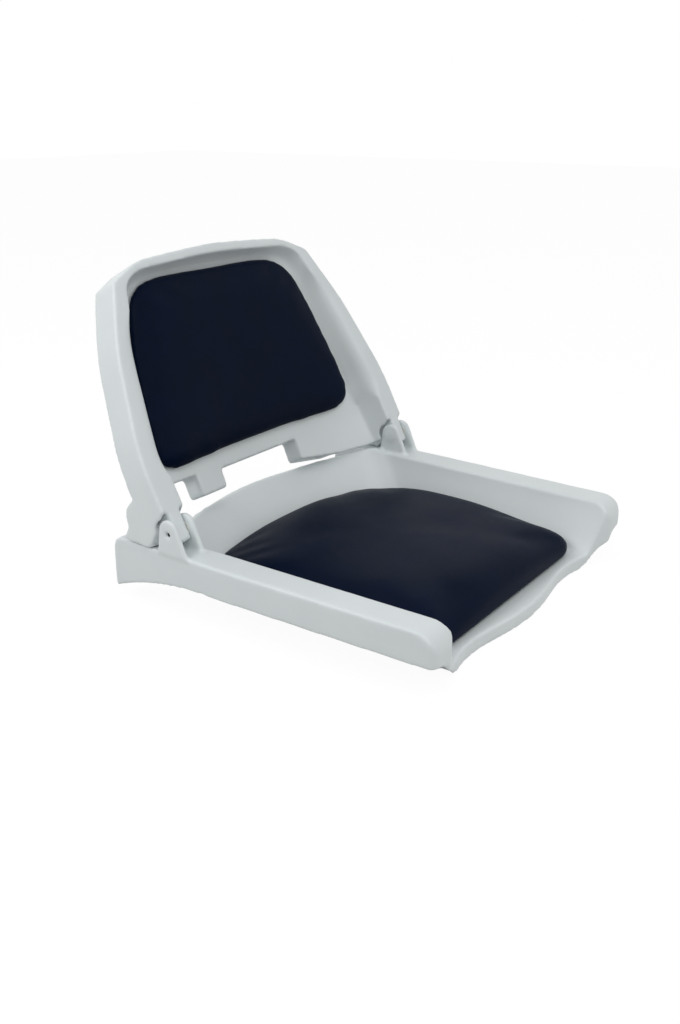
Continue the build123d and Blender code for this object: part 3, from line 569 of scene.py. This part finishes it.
def seat_rim(angle, share, tuck):
    """Outline of the seat cushion, a squared round, tighter at the front corners, and its height
    there, lower towards the corners and the ends. The tuck draws the foot in, most at the rear."""
    c, s = np.cos(angle), np.sin(angle)
    front = s < 0
    power = np.where(front, seat_front_corner_power, seat_rear_corner_power)
    reach = (np.abs(c) ** power + np.abs(s) ** power) ** (-1 / power) * share
    x = seat_half_width * reach * c * (1 - seat_foot_side_share * tuck)
    front_reach = seat_front * (1 - seat_foot_front_share * tuck)
    y = np.where(front, front_reach, seat_rear * (1 - seat_foot_rear_share * tuck)) * reach * s
    along = np.abs(y) / np.where(front, seat_front, seat_rear)
    front_taper = 1 - seat_front_taper_share * along**2.5
    x = x * np.where(front, front_taper, 1 - seat_rear_taper_share * along**2)
    y = y - np.where(s > 0, seat_rear_bow * (x / seat_half_width) ** 2 * share * along, 0)
    corner = np.abs(np.sin(2 * angle)) ** 4 * share**3
    corner_fall = np.where(front, seat_front_corner_share, seat_rear_corner_share)
    height = seat_rise * (1 - seat_crown_share * share**2) * (1 - corner_fall * corner)
    height = height * (1 - np.where(front, seat_front_fall_share, seat_rear_fall_share) * along**3)
    return x, y, height


def seat_place(x, y, rise):
    """A point of the seat cushion over its flat base."""
    return np.stack([x, y, seat_base + rise], axis=-1)


def on_floor(places):
    """The points of the seat cushion that lie on the bowl's floor."""
    return places[:, 2] < seat_base + pad_hold


seat_mesh = closed_pad("seat_cushion", pad_profile(seat_square, seat_belly_share), seat_rim, seat_place)
seat_cushion = pumped("seat_cushion", seat_mesh, on_floor, seat_pump, in_bowl)
seat_cushion.data.materials.append(vinyl)
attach(seat_cushion, "seat")
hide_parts("seat_cushion_cover", "seat_cushion_foam")

# The back cushion: the same make as the seat's, on a board bent to the dished panel.
# It narrows towards the top, and four screws from behind hold it.
panel_reach = 0.262
panel_deep = 0.068
panel_height_shares = np.array((-0.15, 0.07, 0.206, 0.545, 0.88, 1.05))
panel_middle_shares = np.array((0.97, 1.0, 0.93, 0.72, 0.47, 0.36))
panel_side_shares = np.array((0.31, 0.32, 0.42, 0.38, 0.24, 0.16))
back_low = 0.0575
back_high = 0.308
back_half = 0.2050
back_rise = 0.022
back_arch = 0.011
back_pump = 0.0018
back_square = 5.0
back_belly_share = 0.35
back_gap = 0.0005
back_low_corner_power = 7.5
back_high_corner_power = 6.5
back_foot_share = 0.03
back_taper_share = 0.045
back_top_taper_share = 0.200
back_top_taper_power = 1.8
back_top_bow = 0.003
back_crown_share = 0.05
back_corner_share = 0.12


def panel_depth(x, height):
    """Depth of the dished panel behind the rim, an arc across between its middle and its sides."""
    share = height / back_height
    middle = np.interp(share, panel_height_shares, panel_middle_shares)
    side = np.interp(share, panel_height_shares, panel_side_shares)
    return panel_deep * (middle - (middle - side) * (x / panel_reach) ** 2)


def back_rim(angle, share, tuck):
    """Outline of the back cushion, a squared round that narrows towards its bowed top, and its
    height there, lower towards the corners."""
    c, s = np.cos(angle), np.sin(angle)
    power = np.where(s < 0, back_low_corner_power, back_high_corner_power)
    foot = 1 - back_foot_share * tuck
    reach = (np.abs(c) ** power + np.abs(s) ** power) ** (-1 / power) * share * foot
    up_share = (reach * s + 1) / 2
    top_taper = back_top_taper_share * up_share**back_top_taper_power
    half = back_half * (1.0 - back_taper_share * up_share - top_taper)
    x = half * reach * c
    bow = back_top_bow * up_share * (x / back_half) ** 2
    height = back_low + (back_high - back_low) * up_share - bow
    height = height + back_arch * (1 - (x / back_half) ** 2) * (1 - up_share) ** 2
    corner = np.abs(np.sin(2 * angle)) ** 4 * share**4
    rise = back_rise * (1 - back_crown_share * share**2) * (1 - back_corner_share * corner)
    return x, height - (back_low + back_high) / 2, rise


def back_place(x, height, rise):
    """A point of the back cushion, ahead of the panel by its rise and a small gap."""
    up_back = height + (back_low + back_high) / 2
    setback = panel_depth(x, up_back) - back_gap - rise
    behind = setback - rim_ahead
    y = hinge_y + up_back * sin(recline) + behind * cos(recline)
    z = hinge_z + up_back * cos(recline) - behind * sin(recline)
    return np.stack([x, y, z], axis=-1)


def off_panel(places):
    """How far points are ahead of the panel."""
    height, behind = up_and_behind(places)
    return panel_depth(places[:, 0], height) - behind


def on_panel(places):
    """The points of the back cushion that lie on the panel."""
    return off_panel(places) < pad_hold


def ahead_of_panel(places):
    """Points of the back cushion kept ahead of the panel by a small gap."""
    short = np.maximum(back_gap - off_panel(places), 0)[:, None]
    return places + short * np.array((0, -cos(recline), sin(recline)))


back_mesh = closed_pad("back_cushion", pad_profile(back_square, back_belly_share), back_rim, back_place)
back_cushion = pumped("back_cushion", back_mesh, on_panel, back_pump, ahead_of_panel)
back_cushion.data.materials.append(vinyl)
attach(back_cushion, "backrest")
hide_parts("back_cushion_cover", "back_cushion_foam")


# The metal pieces, as the CAD made them: stainless screws, washers, tee nuts and staples,
# blackened hinge pins pressed into the ears, and brass inserts moulded into the bosses.
# The pins' near-black colour is partly their blackened finish and partly painted shade in the pin holes.
def metal_material(name, colour, roughness):
    """Turned metal with fine uneven brushing."""
    material, tree, shader, place = new_material(name)
    shader.inputs["Base Color"].default_value = colour
    shader.inputs["Metallic"].default_value = 1.0
    marks = shade(tree, "ShaderNodeTexNoise", {}, {"Vector": place, "Scale": 1200.0, "Detail": 4.0})
    gloss = roughness + marks * 0.15
    tree.links.new(gloss.socket, shader.inputs["Roughness"])
    bump = shade(tree, "ShaderNodeBump", {}, {"Strength": 0.1, "Distance": 0.0002, "Height": marks}, "Normal")
    tree.links.new(bump.socket, shader.inputs["Normal"])
    return material


def dress(words, material):
    """Gives a material to the CAD nodes whose names hold one of the words."""
    for name, part in nodes.items():
        if any(word in name for word in words):
            part.data.materials.clear()
            part.data.materials.append(material)


steel = metal_material("stainless_steel", (0.62, 0.62, 0.63, 1), 0.22)
# The near-black pin colour is partly a blackened finish and partly painted shade for the dark pin holes.
pin_black_and_hole_shade = metal_material("blackened_steel_and_painted_hole_shade", (0.025, 0.025, 0.028, 1), 0.45)
brass = metal_material("brass", (0.72, 0.56, 0.28, 1), 0.28)
dress(("screws", "cushion_washers", "tee_nuts", "staples"), steel)
dress(("hinge_pin",), pin_black_and_hole_shade)
dress(("mount_inserts",), brass)


# The boards inside the cushions, cut from birch plywood. The seat's is flat, and the back's
# is bent to the dished panel.
def plywood_material():
    """Birch plywood: long grain on the faces and plies at the edge."""
    material, tree, shader, place = new_material("plywood")
    stretched = shade(tree, "ShaderNodeMapping", {}, {"Vector": place, "Scale": (14.0, 160.0, 400.0)})
    grain = shade(tree, "ShaderNodeTexNoise", {}, {"Vector": stretched, "Scale": 1.0, "Detail": 5.0})
    colour = shade(
        tree, "ShaderNodeMix", {"data_type": "RGBA"},
        {"Factor": grain, "A": linear((196, 160, 112)), "B": linear((222, 192, 148))}, "Result",
    )
    tree.links.new(colour.socket, shader.inputs["Base Color"])
    shader.inputs["Roughness"].default_value = 0.75
    bump = shade(tree, "ShaderNodeBump", {}, {"Strength": 0.2, "Distance": 0.0003, "Height": grain}, "Normal")
    tree.links.new(bump.socket, shader.inputs["Normal"])
    return material


dress(("board",), plywood_material())


# The hinge bushes, pressed into the backrest's tongues, and the thin slip washers beside
# them, turned from natural nylon.
def nylon_material():
    """Natural nylon, slightly cloudy."""
    material, tree, shader, place = new_material("nylon")
    clouds = shade(tree, "ShaderNodeTexNoise", {}, {"Vector": place, "Scale": 90.0, "Detail": 3.0})
    colour = shade(
        tree, "ShaderNodeMix", {"data_type": "RGBA"},
        {"Factor": clouds, "A": linear((214, 214, 206)), "B": linear((228, 228, 222))}, "Result",
    )
    tree.links.new(colour.socket, shader.inputs["Base Color"])
    gloss = 0.38 + clouds * 0.1
    tree.links.new(gloss.socket, shader.inputs["Roughness"])
    return material


dress(("hinge_bush", "hinge_washers"), nylon_material())
